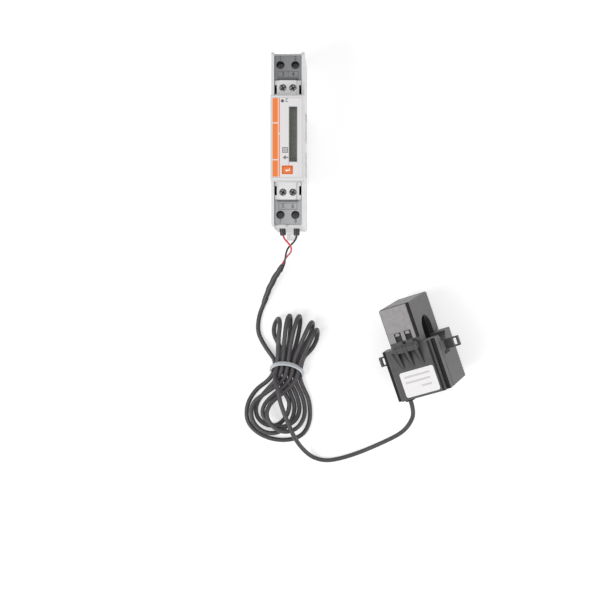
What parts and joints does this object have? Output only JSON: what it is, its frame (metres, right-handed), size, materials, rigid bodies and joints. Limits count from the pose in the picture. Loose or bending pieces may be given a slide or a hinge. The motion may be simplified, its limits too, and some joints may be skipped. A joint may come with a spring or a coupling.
{
  "type": "single-phase current transformer meter",
  "caption": "Narrow DIN-rail energy meter with a display and screw terminals, wired by a hanked lead to a split-core current transformer with a hinged cap.",
  "frame": {"origin": "centre of the meter's rail seat, the flat face that lies on the mounting rail", "axes": "+Z out of the meter's front, +Y along the case to its upper end, +X across the module to its right side; the lead and the transformer lie below the meter, towards -Y"},
  "size_m": [0.1205, 0.2255, 0.0654],
  "materials": {
    "case_white": "fine moulded satin",
    "terminal_grey": "satin",
    "terminal_white": "satin",
    "front_print": "printed film, satin",
    "window": "clear, polished",
    "button_orange": "satin",
    "lamp_clear": "clear",
    "zinc_steel": "zinc plated",
    "cage_steel": "yellow zinc plated",
    "contact_copper": "tin plated",
    "board_green": "solder mask",
    "part_black": "moulded",
    "can_aluminium": "drawn can",
    "varistor_blue": "dipped",
    "tape_yellow": "polyester tape",
    "display_glass": "liquid crystal cell",
    "light_frame": "diffusing",
    "label_grey": "printed foil",
    "label_white": "printed foil",
    "housing_black": "fine spark-eroded texture",
    "core_iron": "ferrite, ground faces",
    "bobbin_white": "moulded",
    "winding_copper": "enamelled wire",
    "gland_rubber": "matt",
    "pad_rubber": "foam",
    "sheath_grey": "matt",
    "wire_red": "insulation",
    "wire_black": "insulation",
    "shrink_black": "shrunk sleeve",
    "tie_white": "plastic strap"
  },
  "bodies": {
    "meter": {"board_header": "part_black", "cable_ct_lead": "sheath_grey", "cable_hank": "sheath_grey", "cable_meter_lead": "sheath_grey", "cable_tie": "tie_white", "case_left_shell": "case_white", "case_right_shell": "case_white", "case_rivets": "zinc_steel", "ct_base_cover": "housing_black", "ct_base_shell": "housing_black", "ct_bobbin": "bobbin_white", "ct_cable_gland": "gland_rubber", "ct_label": "label_white", "ct_lower_core": "core_iron", "ct_winding": "winding_copper", "display_backlight": "light_frame", "display_board": "board_green", "display_cell": "display_glass", "display_window": "window", "front_cover": "case_white", "front_film": "front_print", "heat_shrink_sleeve": "shrink_black", "light_pipe": "lamp_clear", "lower_signal_block": "terminal_white", "lower_terminal_block": "terminal_grey", "main_board": "board_green", "metering_chips": "part_black", "pulse_lamp": "lamp_clear", "push_switch": "part_black", "side_label": "label_grey", "signal_cages": "cage_steel", "signal_contacts": "contact_copper", "signal_screws": "zinc_steel", "smoothing_capacitors": "can_aluminium", "supply_transformer": "tape_yellow", "surge_varistor": "varistor_blue", "terminal_bars": "contact_copper", "upper_signal_block": "terminal_white", "upper_terminal_block": "terminal_grey", "wire_black": "wire_black", "wire_ferrules": "part_black", "wire_red": "wire_red"},
    "rail_clip": {"rail_clip": "case_white"},
    "scroll_button": {"scroll_button": "button_orange"},
    "transformer_cap": {"ct_cap_shell": "housing_black", "ct_hinge_pin": "zinc_steel", "ct_upper_core": "core_iron", "ct_core_pad": "pad_rubber"},
    "upper_left_screw": {"upper_left_terminal_screw": "zinc_steel"},
    "upper_left_cage": {"upper_left_terminal_cage": "cage_steel"},
    "upper_right_screw": {"upper_right_terminal_screw": "zinc_steel"},
    "upper_right_cage": {"upper_right_terminal_cage": "cage_steel"},
    "lower_left_screw": {"lower_left_terminal_screw": "zinc_steel"},
    "lower_left_cage": {"lower_left_terminal_cage": "cage_steel"},
    "lower_right_screw": {"lower_right_terminal_screw": "zinc_steel"},
    "lower_right_cage": {"lower_right_terminal_cage": "cage_steel"}
  },
  "joints": [
    {"name": "rail_clip_slide", "type": "slide", "parent": "meter", "child": "rail_clip", "axis": [0, -1, 0], "range_m": [0, 0.0035]},
    {"name": "scroll_button_press", "type": "slide", "parent": "meter", "child": "scroll_button", "axis": [0, 0, -1], "range_m": [0, 0.0005], "stiffness_N_per_m": 400},
    {"name": "transformer_cap_hinge", "type": "hinge", "parent": "meter", "child": "transformer_cap", "pos_m": [0.06348, -0.11154, 0.03358], "axis": [0.883, 0.2742, 0.3811], "range_deg": [0, 110]},
    {"name": "upper_left_screw_turn", "type": "hinge", "parent": "meter", "child": "upper_left_screw", "pos_m": [-0.004, 0.04, 0.0405], "axis": [0, 0, -1], "range_deg": [0, 2448]},
    {"name": "upper_left_cage_lift", "type": "slide", "parent": "meter", "child": "upper_left_cage", "axis": [0, 0, 1], "range_m": [0, 0.0034]},
    {"name": "upper_right_screw_turn", "type": "hinge", "parent": "meter", "child": "upper_right_screw", "pos_m": [0.004, 0.04, 0.0405], "axis": [0, 0, -1], "range_deg": [0, 2448]},
    {"name": "upper_right_cage_lift", "type": "slide", "parent": "meter", "child": "upper_right_cage", "axis": [0, 0, 1], "range_m": [0, 0.0034]},
    {"name": "lower_left_screw_turn", "type": "hinge", "parent": "meter", "child": "lower_left_screw", "pos_m": [-0.004, -0.04, 0.0405], "axis": [0, 0, -1], "range_deg": [-2448, 0]},
    {"name": "lower_left_cage_lift", "type": "slide", "parent": "meter", "child": "lower_left_cage", "axis": [0, 0, 1], "range_m": [-0.0034, 0]},
    {"name": "lower_right_screw_turn", "type": "hinge", "parent": "meter", "child": "lower_right_screw", "pos_m": [0.004, -0.04, 0.0405], "axis": [0, 0, -1], "range_deg": [-2448, 0]},
    {"name": "lower_right_cage_lift", "type": "slide", "parent": "meter", "child": "lower_right_cage", "axis": [0, 0, 1], "range_m": [-0.0034, 0]}
  ],
  "couplings": [
    {"joint": "upper_left_screw_turn", "follows": "upper_left_cage_lift", "rad_per_m": 12566},
    {"joint": "upper_right_screw_turn", "follows": "upper_right_cage_lift", "rad_per_m": 12566},
    {"joint": "lower_left_screw_turn", "follows": "lower_left_cage_lift", "rad_per_m": 12566},
    {"joint": "lower_right_screw_turn", "follows": "lower_right_cage_lift", "rad_per_m": 12566}
  ]
}
